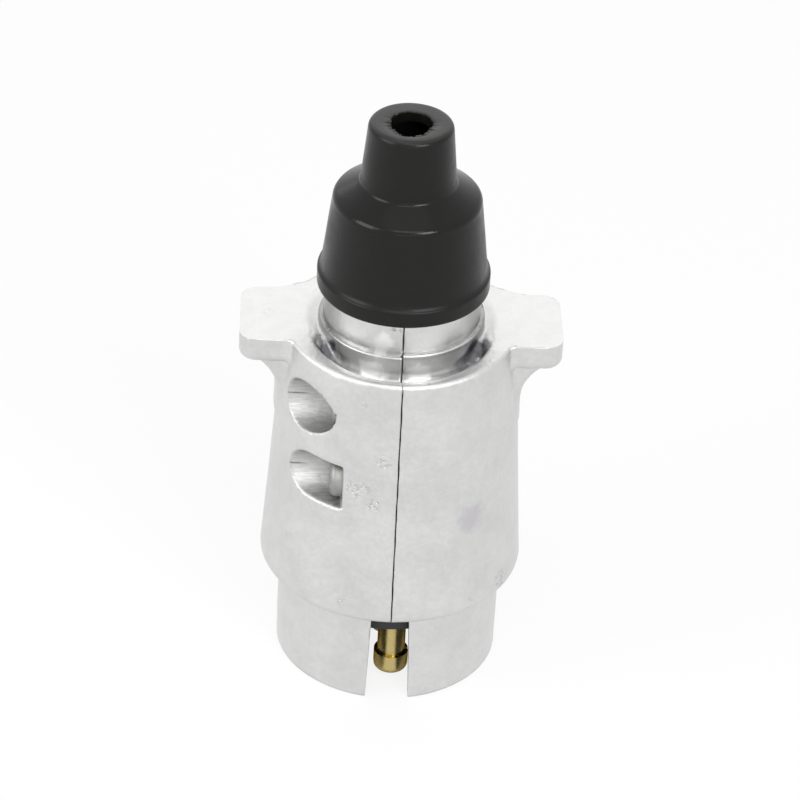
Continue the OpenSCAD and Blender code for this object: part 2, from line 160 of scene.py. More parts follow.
# How much the cuts add to the tear's depth, how soon the end face sinks to it, and the
# thickness of what counts as the end face
RAGGED_DEPTH, SINK, END_FACE = 0.25, 1.6, 0.5

TOP_Z = NOSE_H + BODY_H
DISH_Z = TOP_Z - DISH_DEPTH
ROOF_Z = DISH_Z - BODY_WALL
LEDGE_Z = TOP_Z + BAND_RISE
SHOULDER_Z = TOP_Z + NECK_RISE
SPIGOT_Z = SHOULDER_Z + SPIGOT_H
BOOT_Z = SHOULDER_Z - BOOT_SKIRT
BOOT_TOP = SHOULDER_Z + BOOT_RISE
NOZZLE_Z = BOOT_TOP - NOZZLE_H

# Mesh of the castings: size of a cell, how often a crossing is refined, and how firmly
# a vertex is held to the middle of its cell's crossings
CELL = 0.44
REFINEMENTS = 3
HOLD = 0.02
# Angles in degrees past which an edge stays sharp, on the boot and on the castings, and how
# far inside a face its own normal is taken, as a share of the way to its middle
SHARP_ANGLE = 38
SMOOTH_ANGLE = 22
INWARD = 0.3

# Colours of the materials
ALLOY = (0.69, 0.69, 0.685)
RUBBER = (0.006, 0.006, 0.0055)
# Dust and painted sheen on the boot's end
RUBBER_DUST_AND_SHEEN = (0.035, 0.035, 0.034)
BRASS = (0.54, 0.435, 0.185)
BRASS_TINT = (0.45, 0.3, 0.12)
PLASTIC = (0.01, 0.01, 0.012)
STEEL = (0.33, 0.33, 0.32)

# Scuffed places of the castings: place, reach and amount
SCUFFS = [
    ((-2.4, -20.6, 51.7), 2.2, 0.8),
    ((-7.2, -19.7, 45.2), 2.4, 0.8),
    ((-3.9, -21, 42.8), 1.8, 1),
    ((-5.5, -20.4, 46), 2, 0.5),
    ((-6.3, -19.6, 62), 1, 0.6),
    ((19, -12.5, 21.6), 3, 0.7),
    ((13.5, -17.5, 21), 2.5, 0.4),
    ((-8.3, -21.1, 22.3), 1.7, 0.6),
    ((-12, -18, 22.5), 0.8, 0.9),
    ((-1.3, -13.2, 72.9), 1.2, 1.6),
    ((-22.5, 1, 66.9), 1.5, 0.5),
    ((-18, -13, 30), 1.6, 0.4)]

# Stained places of the castings and painted light on them: place, reach, amount and colour. One stain is on
# the body, six dark smudges in the recess are painted shade, and the last three are painted highlights
# round the neck
STAINS_AND_PAINTED_LIGHT = [
    ((13, -17.2, 38.4), 3.4, 0.8, (0.55, 0.525, 0.555)),
    ((-12.8, -7.9, 65.3), 2.7, 0.9, (0.09, 0.09, 0.1)),
    ((-11.4, -9.5, 64.7), 2.3, 0.8, (0.12, 0.12, 0.13)),
    ((-9.8, -11, 64.2), 2, 0.5, (0.2, 0.2, 0.2)),
    ((12.4, -7, 66), 2.2, 0.9, (0.09, 0.09, 0.1)),
    ((11.4, -8.6, 65.4), 2.6, 0.9, (0.09, 0.09, 0.1)),
    ((9.8, -10.4, 64.8), 2.3, 0.75, (0.12, 0.12, 0.13)),
    ((-3.6, -12.8, 70.3), 2.6, 0.8, (0.92, 0.92, 0.91)),
    ((-5, -13.2, 64.9), 3, 0.9, (0.98, 0.98, 0.98)),
    ((2.6, -14, 65), 2.8, 0.7, (0.95, 0.95, 0.95))]

# How much darker the alloy is in its scuffs; the painted shade deep in the recess, at the sides of the
# neck, at the ledge, at the nose's rim and inside; the milled stripes on painted shade in the screw
# pockets; and a thin dark line there
SCUFF_SHADE = 0.22
RECESS_PAINTED_SHADE = 0.45
NECK_SIDE_PAINTED_SHADE = 0.35
LEDGE_PAINTED_SHADE = 0.16
RIM_PAINTED_SHADE = 0.16
INSIDE_PAINTED_SHADE = 0.6
MILLED_AND_PAINTED_SHADE_HIGH, MILLED_AND_PAINTED_SHADE_LOW = 0.26, 0.1
POCKET_LINE_SHADE = 0.35

# How far below the screws the thin dark line in the pockets lies
POCKET_LINE_DROP = 0.5

# Heights between which the painted shade inside, round the contacts, fades
INSIDE_PAINTED_SHADE_FADE, INSIDE_PAINTED_SHADE_TOP = 30, 34

# Most of what a noise gives lies between these two
NOISE_LOW, NOISE_HIGH = 0.3, 0.7


def arc(x, y, r, start, end, steps=8):
    """Points along an arc of a profile, with angles in degrees."""
    angles = [math.radians(start + (end - start) * i / steps) for i in range(steps + 1)]
    return [(x + r * math.cos(a), y + r * math.sin(a)) for a in angles]


def polygon_distance(u, v, points):
    """Signed distance from each (u, v) to a closed polygon, negative inside."""
    best = np.full(u.shape, 1e9)
    inside = np.zeros(u.shape, bool)
    for (x0, y0), (x1, y1) in zip(points, points[1:] + points[:1]):
        ex, ey = x1 - x0, y1 - y0
        wx, wy = u - x0, v - y0
        along = np.clip((wx * ex + wy * ey) / (ex * ex + ey * ey), 0, 1)
        best = np.minimum(best, (wx - ex * along) ** 2 + (wy - ey * along) ** 2)
        if ey != 0:
            inside ^= ((y0 <= v) != (y1 <= v)) & (u < x0 + wy * ex / ey)
    return np.where(inside, -1, 1) * np.sqrt(best)


class Profile:
    """A turned shape: the distance to its outline, looked up in a fine table of radius and height."""

    # Step of the table, and the radii and heights between which it lies
    STEP = 0.1
    LOW_R, HIGH_R = -6, 34
    LOW_Z, HIGH_Z = -4, 94
    # What keeps a place inside the table's last cell
    INSIDE = 1.001

    def __init__(self, outline):
        past_axis = [(self.LOW_R * 2, outline[0][1])] + outline + [(self.LOW_R * 2, outline[-1][1])]
        radii = np.arange(self.LOW_R, self.HIGH_R, self.STEP)
        heights = np.arange(self.LOW_Z, self.HIGH_Z, self.STEP)
        u, v = np.meshgrid(radii, heights, indexing="ij")
        self.table = polygon_distance(u, v, past_axis)

    def __call__(self, r, z):
        a = np.clip((r - self.LOW_R) / self.STEP, 0, self.table.shape[0] - self.INSIDE)
        b = np.clip((z - self.LOW_Z) / self.STEP, 0, self.table.shape[1] - self.INSIDE)
        i, j = a.astype(int), b.astype(int)
        a, b = a - i, b - j
        t = self.table
        below = (1 - a) * t[i, j] + a * t[i + 1, j]
        above = (1 - a) * t[i, j + 1] + a * t[i + 1, j + 1]
        return (1 - b) * below + b * above


def fillet(a, b, r):
    """Both shapes together, with a hollow fillet of radius r between them."""
    return np.maximum(r, np.minimum(a, b)) - np.hypot(np.maximum(r - a, 0), np.maximum(r - b, 0))


def rounded(a, b, r):
    """What both shapes share, with its edge rounded to radius r."""
    return np.minimum(-r, np.maximum(a, b)) + np.hypot(np.maximum(a + r, 0), np.maximum(b + r, 0))


def side_curve():
    """The body's side from the belly to the top plane, as in the part's source."""
    low, high = NOSE_H + STEP_ROUND, TOP_Z - RIM_ROUND
    bend_r = BELLY_R - SIDE_TAPER * (BELLY_R - TOP_R)
    bend_z = (low + high) / 2 - SIDE_DROP
    points = []
    for i in range(SIDE_STEPS + 1):
        t = i / SIDE_STEPS
        weights = ((1 - t) ** 2, 2 * t * (1 - t), t * t)
        points.append((weights[0] * BELLY_R + weights[1] * bend_r + weights[2] * TOP_R,
                       weights[0] * low + weights[1] * bend_z + weights[2] * high))
    return points


def body_outline():
    """Nose and body, which run on past the top plane."""
    belly_z = NOSE_H + STEP_ROUND
    return ([(0, 0), (NOSE_R - EDGE, 0), (NOSE_R, EDGE), (NOSE_R, NOSE_H)]
            + arc(BELLY_R - STEP_ROUND, belly_z, STEP_ROUND, -90, -15, 6)
            + side_curve() + [(TOP_R - OVERRUN_LEAN, TOP_Z + TOP_OVERRUN), (0, TOP_Z + TOP_OVERRUN)])


def neck_outline(ledge):
    """Lower band, neck and spigot, with the band's ledge at a height."""
    return ([(0, ROOF_Z), (BAND_R, ROOF_Z)]
            + arc(BAND_R - BAND_ROUND, ledge - BAND_ROUND, BAND_ROUND, 0, 90, 4)
            + [(NECK_R, ledge), (NECK_R, SHOULDER_Z - EDGE), (NECK_R - EDGE, SHOULDER_Z),
               (SPIGOT_R, SHOULDER_Z), (SPIGOT_R, SPIGOT_Z - EDGE), (SPIGOT_R - EDGE, SPIGOT_Z),
               (0, SPIGOT_Z)])


def inner_outline():
    """The hollow of the castings: nose, carrier's groove, wiring chamber and neck with its grip ribs."""
    flange_z = NOSE_H + SLIDE
    flange_top = flange_z + FLANGE_H + 2 * FIT
    land_r = CARRIER_BACK_R + SLIDE
    chamber_z = flange_top + LAND_H
    chamber_r = BELLY_R - BODY_WALL
    bevel_z = chamber_z + chamber_r - land_r
    chamber = [(r - BODY_WALL, z) for r, z in side_curve() if bevel_z + EDGE < z < ROOF_Z - BODY_WALL]
    ribs = []
    pitch = (SPIGOT_Z - ROOF_Z) / (GRIP_COUNT + 1)
    for i in range(1, GRIP_COUNT + 1):
        z = ROOF_Z + i * pitch
        ribs += [(NECK_BORE_R, z - GRIP_RIB), (NECK_BORE_R - GRIP_RIB, z - EDGE / 2),
                 (NECK_BORE_R - GRIP_RIB, z + EDGE / 2), (NECK_BORE_R, z + GRIP_RIB)]
    return ([(0, -END_OVERRUN), (BORE_R, -END_OVERRUN), (BORE_R, flange_z), (FLANGE_R + FIT, flange_z),
             (FLANGE_R + FIT, flange_top), (land_r, flange_top), (land_r, chamber_z), (chamber_r, bevel_z)]
            + chamber + [(TOP_R - 2 * BODY_WALL, ROOF_Z), (NECK_BORE_R, ROOF_Z)]
            + ribs + [(NECK_BORE_R, SPIGOT_Z + END_OVERRUN), (0, SPIGOT_Z + END_OVERRUN)])


BODY = Profile(body_outline())
INNER = Profile(inner_outline())


def ears_form(x, y, z):
    """Both ears with the hollowed webs that carry them, open towards the top."""
    u = np.abs(x) - EAR_SPAN / 2 + EAR_CORNER
    v = np.abs(y - EAR_SHIFT) - EAR_W / 2 + EAR_CORNER
    plan = np.hypot(np.maximum(u, 0), np.maximum(v, 0)) + np.minimum(np.maximum(u, v), 0) - EAR_CORNER
    under = TOP_Z - EAR_T
    ear = rounded(plan, under - z, EAR_ROUND)
    out = (np.abs(x) - TOP_R - WEB_REACH) / WEB_REACH
    down = (z - under + WEB_DROP) / WEB_DROP
    hollow = WEB_REACH * (1 - np.hypot(out, down))
    web = np.maximum(np.abs(x) - TOP_R - WEB_REACH, np.maximum(hollow, under - WEB_DROP - z))
    web = rounded(web, np.abs(y - EAR_SHIFT) - WEB_W / 2 + WEB_DRAFT * (under - z), EAR_ROUND)
    return np.minimum(ear, np.maximum(web, z - under - WEB_OVERLAP))


def dish_share(y):
    """0 at the sides of the recess round the neck and 1 in front and at the back, where it is deep."""
    away = np.clip((np.abs(y - DISH_MIDDLE_Y) - DISH_SIDE) / DISH_ONSET, 0, 1)
    return away * away * (3 - 2 * away)


def dish_form(x, y, z):
    """Recess round the neck: a slight slope at the sides, deep with a steep wall in front and behind."""
    stadium = np.hypot(x, np.maximum(np.abs(y) - DISH_REACH, 0))
    t = np.clip((DISH_R - stadium) / (DISH_R - BAND_R), 0, 1)
    away = dish_share(y)
    left = 1 - np.minimum(t / DISH_WALL, 1)
    bend = DISH_BEND + DISH_BEND_GROWTH * away
    depth = (1 - away) * DISH_SLOPE * t + away * DISH_DEPTH * (1 - left ** bend)
    steep = (1 - away) * DISH_SLOPE + away * DISH_DEPTH * bend / DISH_WALL * left ** (bend - 1)
    steep = steep / (DISH_R - BAND_R)
    return rounded(stadium - DISH_R, (TOP_Z - depth - z) / np.hypot(1, steep), DISH_FLOOR_ROUND)


def outside_form(x, y, z):
    """Nose, body and ears, cut level with rounded edges at the top, with the recess round the neck."""
    r = np.hypot(x, y)
    blend = np.interp(y, (-EAR_W / 2, EAR_W / 2), (EAR_BLEND_FRONT, EAR_BLEND))
    solid = fillet(BODY(r, z), ears_form(x, y, z), blend)
    ear_back = EAR_SHIFT + EAR_W / 2
    fall = RIM_FALL * np.maximum(np.abs(y) - ear_back, 0) / (TOP_R - ear_back)
    edge = np.interp(r, (TOP_R, TOP_R + TOP_EDGE_FADE), (TOP_EDGE, 0))
    solid = rounded(solid, z - TOP_Z + fall, edge)
    return rounded(solid, -dish_form(x, y, z), DISH_RIM_ROUND)


SCREWS = [(upper, front) for upper in (True, False) for front in (True, False)]


def from_screw(y, z, upper, front):
    """How far a place lies outward of one shell screw's axis, and how far above it."""
    outward = -y if front else y
    return (outward - (UPPER_SCREW_Y if upper else LOWER_SCREW_Y),
            z - NOSE_H - (UPPER_SCREW_Z if upper else LOWER_SCREW_Z))


def pocket_form(x, y, z, upper, front, grow, floor):
    """The pocket of one screw, or with a growth the boss round it. A lower one is open outward."""
    v, w = from_screw(y, z, upper, front)
    if not upper:
        v = np.minimum(v, 0)
    radius = UPPER_POCKET_R if upper else LOWER_POCKET_R
    return rounded(np.hypot(v, w) - radius - grow, x + floor, POCKET_FLOOR_ROUND)


def waviness(x, y, z):
    """Slow unevenness of the cast skin, between -1 and 1, in waves some 6 to 18 units long."""
    seeded = np.random.default_rng(WAVE_SEED)
    total = 0
    for _ in range(WAVE_COUNT):
        direction = seeded.normal(size=3)
        direction *= seeded.uniform(0.35, 1.0) / np.linalg.norm(direction)
        phase = seeded.uniform(0, math.tau)
        total = total + np.sin(direction[0] * x + direction[1] * y + direction[2] * z + phase)
    return total / WAVE_COUNT


def hollow_form(side, x, y, z, r):
    """The hollow of one casting, less the bosses round the pockets or the tapped bosses."""
    inside = INNER(r, z)
    for upper, front in SCREWS:
        if side < 0:
            boss = pocket_form(x, y, z, upper, front, BOSS_WALL, 0)
        else:
            axis = np.hypot(*from_screw(y, z, upper, front))
            boss = np.maximum(axis - TAPPED_BOSS_R, x - TAPPED_BOSS_H)
        inside = np.maximum(inside, -np.maximum(boss, z - ROOF_Z))
    return inside


def casting_form(side, neck):
    """The casting on one side of the seam: side is -1 on the left and 1 on the right."""
    def form(x, y, z):
        r = np.hypot(x, y)
        neck_fillet = NECK_FILLET + NECK_FILLET_GROWTH * dish_share(y)
        solid = fillet(outside_form(x, y, z), neck(r, z), neck_fillet)
        solid = solid + SKIN_WAVE * waviness(x, y, z) * np.clip(z / SKIN_FADE, 0, 1)
        solid = np.maximum(solid, -hollow_form(side, x, y, z, r))
        for upper, front in SCREWS:
            axis = np.hypot(*from_screw(y, z, upper, front))
            if side < 0:
                pocket = pocket_form(x, y, z, upper, front, 0, POCKET_FLOOR)
                solid = rounded(solid, -pocket, POCKET_MOUTH_ROUND)
                solid = np.maximum(solid, SCREW_R + SLIDE - axis)
            else:
                hole = np.maximum(axis - SCREW_R - FIT, x - SCREW_GRIP - HOLE_SPARE)
                solid = np.maximum(solid, -hole)
        slot = np.abs(x) - KEY_W / 2 - KEY_DRAFT / 2 * (1 - z / NOSE_H)
        slot = np.maximum(slot, np.maximum(y + KEY_START, z - NOSE_H))
        solid = rounded(solid, -slot, KEY_ROUND)
        waver = SEAM_WAVE * np.sin(0.9 * z + side) * np.sin(0.31 * z + y)
        return rounded(solid, SEAM_GAP / 2 - side * x + waver, SEAM_ROUND)
    return form


def slopes(form, points, step=0.02):
    """Unit normals of a form at some points, from small differences."""
    parts = []
    for axis in range(3):
        ahead, behind = points.copy(), points.copy()
        ahead[:, axis] += step
        behind[:, axis] -= step
        parts.append(form(*ahead.T) - form(*behind.T))
    normals = np.stack(parts, -1)
    return normals / np.maximum(np.linalg.norm(normals, axis=1, keepdims=True), 1e-9)


def edge_crossings(form, axes, value, axis, cell):
    """Where the surface crosses the grid's edges along one axis, and the four cells round each edge."""
    first = [slice(None)] * 3
    second = [slice(None)] * 3
    first[axis] = slice(0, -1)
    second[axis] = slice(1, None)
    solid = value < 0
    low = solid[tuple(first)]
    where = np.argwhere(low != solid[tuple(second)])
    start = np.stack([axes[k][where[:, k]] for k in range(3)], -1)
    ahead = where.copy()
    ahead[:, axis] += 1
    near, far = value[tuple(where.T)], value[tuple(ahead.T)]
    t0, t1 = np.zeros(len(where)), np.ones(len(where))
    for _ in range(REFINEMENTS):
        t = t0 + (t1 - t0) * near / (near - far)
        point = start.copy()
        point[:, axis] += t * cell
        here = form(*point.T)
        left = (here < 0) == (near < 0)
        t0, near = np.where(left, t, t0), np.where(left, here, near)
        t1, far = np.where(left, t1, t), np.where(left, far, here)
    a, b = [k for k in range(3) if k != axis]
    cells = []
    for da, db in ((0, 0), (-1, 0), (-1, -1), (0, -1)):
        around = where.copy()
        around[:, a] += da
        around[:, b] += db
        cells.append(np.ravel_multi_index(tuple(around.T), value.shape))
    cells = np.stack(cells, -1)
    flip = low[tuple(where.T)] == (axis == 1)
    cells[flip] = cells[flip][:, ::-1]
    return point, cells


def contour(form, lowest, highest, cell):
    """Mesh of a form's surface with its sharp edges kept: a vertex in each cell that it crosses."""
    axes = [np.arange(low - 1.5 * cell, high + 2 * cell, cell) for low, high in zip(lowest, highest)]
    value = form(*np.meshgrid(*axes, indexing="ij"))
    found = [edge_crossings(form, axes, value, axis, cell) for axis in range(3)]
    crossings, quads = [np.concatenate(part) for part in zip(*found)]
    normals = slopes(form, crossings)
    cells, index = np.unique(quads, return_inverse=True)
    index = index.reshape(quads.shape)
    count = len(cells)
    weight = np.bincount(index.ravel(), minlength=count)

    def gathered(values):
        """Sum over each cell of a value that every crossing has."""
        return np.bincount(index.ravel(), np.repeat(values, 4), count)

    # Each vertex goes where the planes of its cell's crossings meet, held to their middle
    middle = np.stack([gathered(crossings[:, k]) for k in range(3)], -1) / weight[:, None]
    matrix = np.zeros((count, 3, 3))
    for i in range(3):
        for j in range(i, 3):
            matrix[:, i, j] = matrix[:, j, i] = gathered(normals[:, i] * normals[:, j])
    offset = np.sum(normals * crossings, 1)
    right = np.stack([gathered(normals[:, i] * offset) for i in range(3)], -1)
    right -= np.einsum("nij,nj->ni", matrix, middle)
    matrix += HOLD * weight[:, None, None] * np.eye(3)
    place = middle + np.linalg.solve(matrix, right[:, :, None])[:, :, 0]
    corner = np.stack(np.unravel_index(cells, value.shape), -1)
    low = np.stack([axes[k][corner[:, k]] for k in range(3)], -1)
    return np.clip(place, low, low + cell), index


def exact_normals(mesh, form):
    """Normals of a quad mesh's corners taken from the form itself, split along its sharp edges."""
    vertices = np.empty(len(mesh.vertices) * 3)
    mesh.vertices.foreach_get("co", vertices)
    vertices = vertices.reshape(-1, 3) / MM
    corners = np.empty(len(mesh.loops), np.int64)
    mesh.loops.foreach_get("vertex_index", corners)
    places = vertices[corners].reshape(-1, 4, 3)
    inward = places + INWARD * (places.mean(1, keepdims=True) - places)
    of_corner = slopes(form, inward.reshape(-1, 3))
    of_vertex = slopes(form, vertices)[corners]
    near = np.sum(of_corner * of_vertex, 1) > math.cos(math.radians(SMOOTH_ANGLE))
    return np.where(near[:, None], of_vertex, of_corner)


def mesh_piece(name, vertices, faces, material, node, form=None):
    """A piece in the place of a CAD node, from vertices in millimetres."""
    mesh = bpy.data.meshes.new(name)
    mesh.from_pydata((vertices * MM).tolist(), [], faces.tolist())
    mesh.validate()
    mesh.shade_smooth()
    if form:
        mesh.normals_split_custom_set(exact_normals(mesh, form).tolist())
    else:
        mesh.set_sharp_from_angle(angle=math.radians(SHARP_ANGLE))
    mesh.materials.append(material)
    piece = bpy.data.objects.new(name, mesh)
    bpy.context.scene.collection.objects.link(piece)
    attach(piece, "root")
    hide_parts(node)
    return piece


def make_casting(node, side, ledge, material):
    """One die-cast half, with its ledge at a height."""
    low, high = [np.array(corner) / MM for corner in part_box(node)]
    form = casting_form(side, Profile(neck_outline(ledge)))
    vertices, faces = contour(form, low, high, CELL)
    return mesh_piece(node + "_cast", vertices, faces, material, node, form)


def boot_outline():
    """Section of the boot, from its lower inside edge up the outside and back down the inside."""
    skirt_r = NECK_R + FIT
    seat_r = SPIGOT_R + FIT
    groove_r = seat_r - GROOVE_DEPTH
    bead_z = SHOULDER_Z + SPIGOT_H / 2
    bead_top = bead_z + BEAD_H
    rim_z = BOOT_Z + BOOT_RIM_H
    lip_z = BOOT_TOP - CABLE_LIP
    bend_x = BOOT_HIGH_R - BOOT_SHOULDER
    slope = math.radians(BOOT_SLOPE)
    slope_x = bend_x + BOOT_SHOULDER * math.sin(slope)
    bend_z = NOZZLE_Z - (slope_x - NOZZLE_LOW_R) * math.tan(slope) - BOOT_SHOULDER * math.cos(slope)
    outside = (
        [(skirt_r, BOOT_Z + SKIRT_CHAMFER), (skirt_r + SKIRT_CHAMFER, BOOT_Z)]
        + arc(BOOT_RIM_R - RIM_LOW_ROUND, BOOT_Z + RIM_LOW_ROUND, RIM_LOW_ROUND, -90, 0, 4)
        + arc(BOOT_RIM_R - RIM_HIGH_ROUND, rim_z - RIM_HIGH_DROP, RIM_HIGH_ROUND, 0, 60, 4)
        + [(BOOT_LOW_R + FLARE, rim_z + FLARE_LOW), (BOOT_LOW_R, rim_z + FLARE_HIGH)]
        + arc(bend_x, bend_z, BOOT_SHOULDER, 0, 90 - BOOT_SLOPE, 10)
        + arc(NOZZLE_LOW_R + FOOT_ROUND, NOZZLE_Z + FOOT_LIFT, FOOT_ROUND, 270 - BOOT_SLOPE, 180, 5)
        + arc(NOZZLE_HIGH_R - TIP_ROUND, BOOT_TOP - TIP_ROUND, TIP_ROUND, 4, 90, 7))
    hole = [
        (CABLE_HOLE_R + HOLE_CHAMFER, BOOT_TOP), (CABLE_HOLE_R, BOOT_TOP - HOLE_CHAMFER),
        (CABLE_HOLE_R, lip_z), (NOZZLE_HIGH_R - BOOT_WALL, lip_z - EDGE)]
    inside = (
        [(NOZZLE_LOW_R - BOOT_WALL, NOZZLE_Z - BOOT_WALL + EDGE)]
        + arc(bend_x, bend_z, BOOT_SHOULDER - BOOT_WALL, 90 - BOOT_SLOPE, 0, 4)
        + [(BOOT_HIGH_R - BOOT_WALL, SPIGOT_Z + 3 * EDGE), (seat_r, SPIGOT_Z + EDGE),
           (seat_r, bead_top - FIT), (groove_r, bead_top - FIT),
           (groove_r, bead_z + FIT), (seat_r, bead_z + FIT),
           (seat_r, SHOULDER_Z + FIT), (skirt_r, SHOULDER_Z + FIT)])
    return outside + hole + inside


def divided(points, longest):
    """A closed outline with its long sides divided."""
    result = []
    for (x0, y0), (x1, y1) in zip(points, points[1:] + points[:1]):
        count = max(1, math.ceil(math.hypot(x1 - x0, y1 - y0) / longest))
        result += [(x0 + (x1 - x0) * i / count, y0 + (y1 - y0) * i / count) for i in range(count)]
    return result


def torn_edge(r, a, z):
    """The boot's radii and heights with the edge of the cable hole ragged, and torn at its front."""
    near_hole = np.clip((TEAR_R - r) / (TEAR_R - CABLE_HOLE_R), 0, 1)
    near_hole = near_hole * np.clip((z - BOOT_TOP + TEAR_END) / TEAR_FADE, 0, 1)
    ragged = sum(size * np.sin(count * a + phase) for count, size, phase in RAGGED_WAVES)
    torn = 0.5 + 0.5 * np.cos(a - TEAR_ANGLE)
    sunk = np.clip(near_hole * SINK, 0, 1) * (z > BOOT_TOP - END_FACE)
    r = r + near_hole * (RAGGED * ragged + TEAR_WIDTH * torn ** 3)
    z = z - sunk * TEAR_DEPTH * torn ** 2 * (1 + RAGGED_DEPTH * ragged)
    return r, z


def make_boot(material):
    """Soft boot, slightly uneven, with a torn edge round the cable hole."""
    outline = np.array(divided(boot_outline(), BOOT_STEP))
    angle = np.arange(BOOT_TURNS) * math.tau / BOOT_TURNS
    r, a = np.meshgrid(outline[:, 0], angle, indexing="ij")
    z = np.repeat(outline[:, 1:], BOOT_TURNS, 1)
    r, z = torn_edge(r, a, z)
    x, y = r * np.cos(a), r * np.sin(a)
    swell = 1 + BOOT_SWELL * waviness(x * 1.3, y * 1.3, z * 1.3) * (r > CABLE_HOLE_R + 2)
    vertices = np.stack([x * swell, y * swell, z], -1).reshape(-1, 3)
    i, j = np.meshgrid(np.arange(len(outline)), np.arange(BOOT_TURNS), indexing="ij")
    here = i * BOOT_TURNS
    ahead = (i + 1) % len(outline) * BOOT_TURNS
    beside = (j + 1) % BOOT_TURNS
    faces = np.stack([here + j, here + beside, ahead + beside, ahead + j], -1).reshape(-1, 4)
    return mesh_piece("boot", vertices, faces, material, "cable_boot")


def make_camera():
    """Camera where the photograph was taken, with a little roll."""
    camera = bpy.data.cameras.new("camera")
    camera.sensor_width = SENSOR_MM
    camera.lens = FOCAL_PIXELS * SENSOR_MM / FRAME_WIDTH
    camera.clip_start = 0.05
    camera.clip_end = 20
    holder = bpy.data.objects.new("camera", camera)
    bpy.context.scene.collection.objects.link(holder)
    turn = Matrix.Rotation(math.radians(CAMERA_AZIMUTH), 4, "Z")
    tilt = Matrix.Rotation(math.radians(90 - CAMERA_ELEVATION), 4, "X")
    roll = Matrix.Rotation(math.radians(CAMERA_ROLL), 4, "Z")
    back = Matrix.Translation((0, 0, CAMERA_DISTANCE))
    holder.matrix_world = Matrix.Translation(CAMERA_TARGET) @ turn @ tilt @ roll @ back
    bpy.context.scene.camera = holder


def add_node(tree, kind, inputs, output=0, **settings):
    """Adds a node with its inputs, each a value or another node's output, and returns one output."""
    made = tree.nodes.new(kind)
    for key, value in settings.items():
        setattr(made, key, value)
    for key, value in inputs.items():
        if isinstance(value, bpy.types.NodeSocket):
            tree.links.new(value, made.inputs[key])
        else:
            made.inputs[key].default_value = value
    return made.outputs[output]


def maths(tree, operation, *values):
    """Adds a maths node."""
    return add_node(tree, "ShaderNodeMath", dict(enumerate(values)), operation=operation)


def seen_ray(tree, reflected=1.0):
    """1 for the rays in which the camera sees the background, and a share for reflections and glass."""
    path = tree.nodes.new("ShaderNodeLightPath")
    mirrored = maths(tree, "MAXIMUM", path.outputs["Is Glossy Ray"], path.outputs["Is Transmission Ray"])
    mirrored = maths(tree, "MULTIPLY", mirrored, reflected)
    return maths(tree, "MAXIMUM", path.outputs["Is Camera Ray"], mirrored)


def floor_material():
    """Pale matt grey, nearly white where it is seen, with a shadow under the plug painted for reflections
    only.
    """
    material = bpy.data.materials.new("floor")
    material.use_nodes = True
    tree = material.node_tree
    shader = tree.nodes["Principled BSDF"]
    shader.inputs["Base Color"].default_value = (FLOOR_GREY, FLOOR_GREY, FLOOR_GREY, 1)
    shader.inputs["Roughness"].default_value = 0.9
    shader.inputs["Specular IOR Level"].default_value = 0
    glow = add_node(tree, "ShaderNodeEmission", {"Color": (1, 1, 1, 1)})
    place = add_node(tree, "ShaderNodeTexCoord", {}, "Object")
    away = add_node(tree, "ShaderNodeVectorMath", {0: place}, "Value", operation="LENGTH")
    # Painted shadow under the plug, seen only in reflections
    outside_painted_shadow = maths(tree, "MAXIMUM", maths(tree, "GREATER_THAN", away, BORE_R * MM), PAINTED_SHADOW_GLOW)
    share = maths(tree, "MULTIPLY", seen_ray(tree, outside_painted_shadow), FLOOR_GLOW)
    mix = add_node(tree, "ShaderNodeMixShader", {"Fac": share, 1: shader.outputs["BSDF"], 2: glow})
    tree.links.new(mix, tree.nodes["Material Output"].inputs["Surface"])
    return material


def make_floor():
    """Plain square floor under the plug."""
    corners = [(x * FLOOR_REACH, y * FLOOR_REACH, 0) for x, y in ((-1, -1), (1, -1), (1, 1), (-1, 1))]
    mesh = bpy.data.meshes.new("floor")
    mesh.from_pydata(corners, [], [(0, 1, 2, 3)])
    mesh.materials.append(floor_material())
    floor = bpy.data.objects.new("floor", mesh)
    bpy.context.scene.collection.objects.link(floor)


def make_world():
    """White background where it is seen, and a weaker even light on the plug."""
    world = bpy.data.worlds.new("studio")
    bpy.context.scene.world = world
    world.use_nodes = True
    tree = world.node_tree
    dim = tree.nodes["Background"]
    dim.inputs["Color"].default_value = (1, 1, 1, 1)
    dim.inputs["Strength"].default_value = WORLD_LEVEL
    white = add_node(tree, "ShaderNodeBackground", {"Color": (1, 1, 1, 1), "Strength": 1})
    mix = add_node(tree, "ShaderNodeMixShader", {"Fac": seen_ray(tree), 1: dim.outputs[0], 2: white})
    tree.links.new(mix, tree.nodes["World Output"].inputs["Surface"])


def area_light(name, place, width, height, power):
    """A soft panel that faces the plug."""
    lamp = bpy.data.lights.new(name, "AREA")
    lamp.shape = "RECTANGLE"
    lamp.size = width
    lamp.size_y = height
    lamp.energy = power
    holder = bpy.data.objects.new(name, lamp)
    bpy.context.scene.collection.objects.link(holder)
    holder.location = place
    holder.rotation_euler = (PANEL_TARGET - Vector(place)).to_track_quat("-Z", "Y").to_euler()


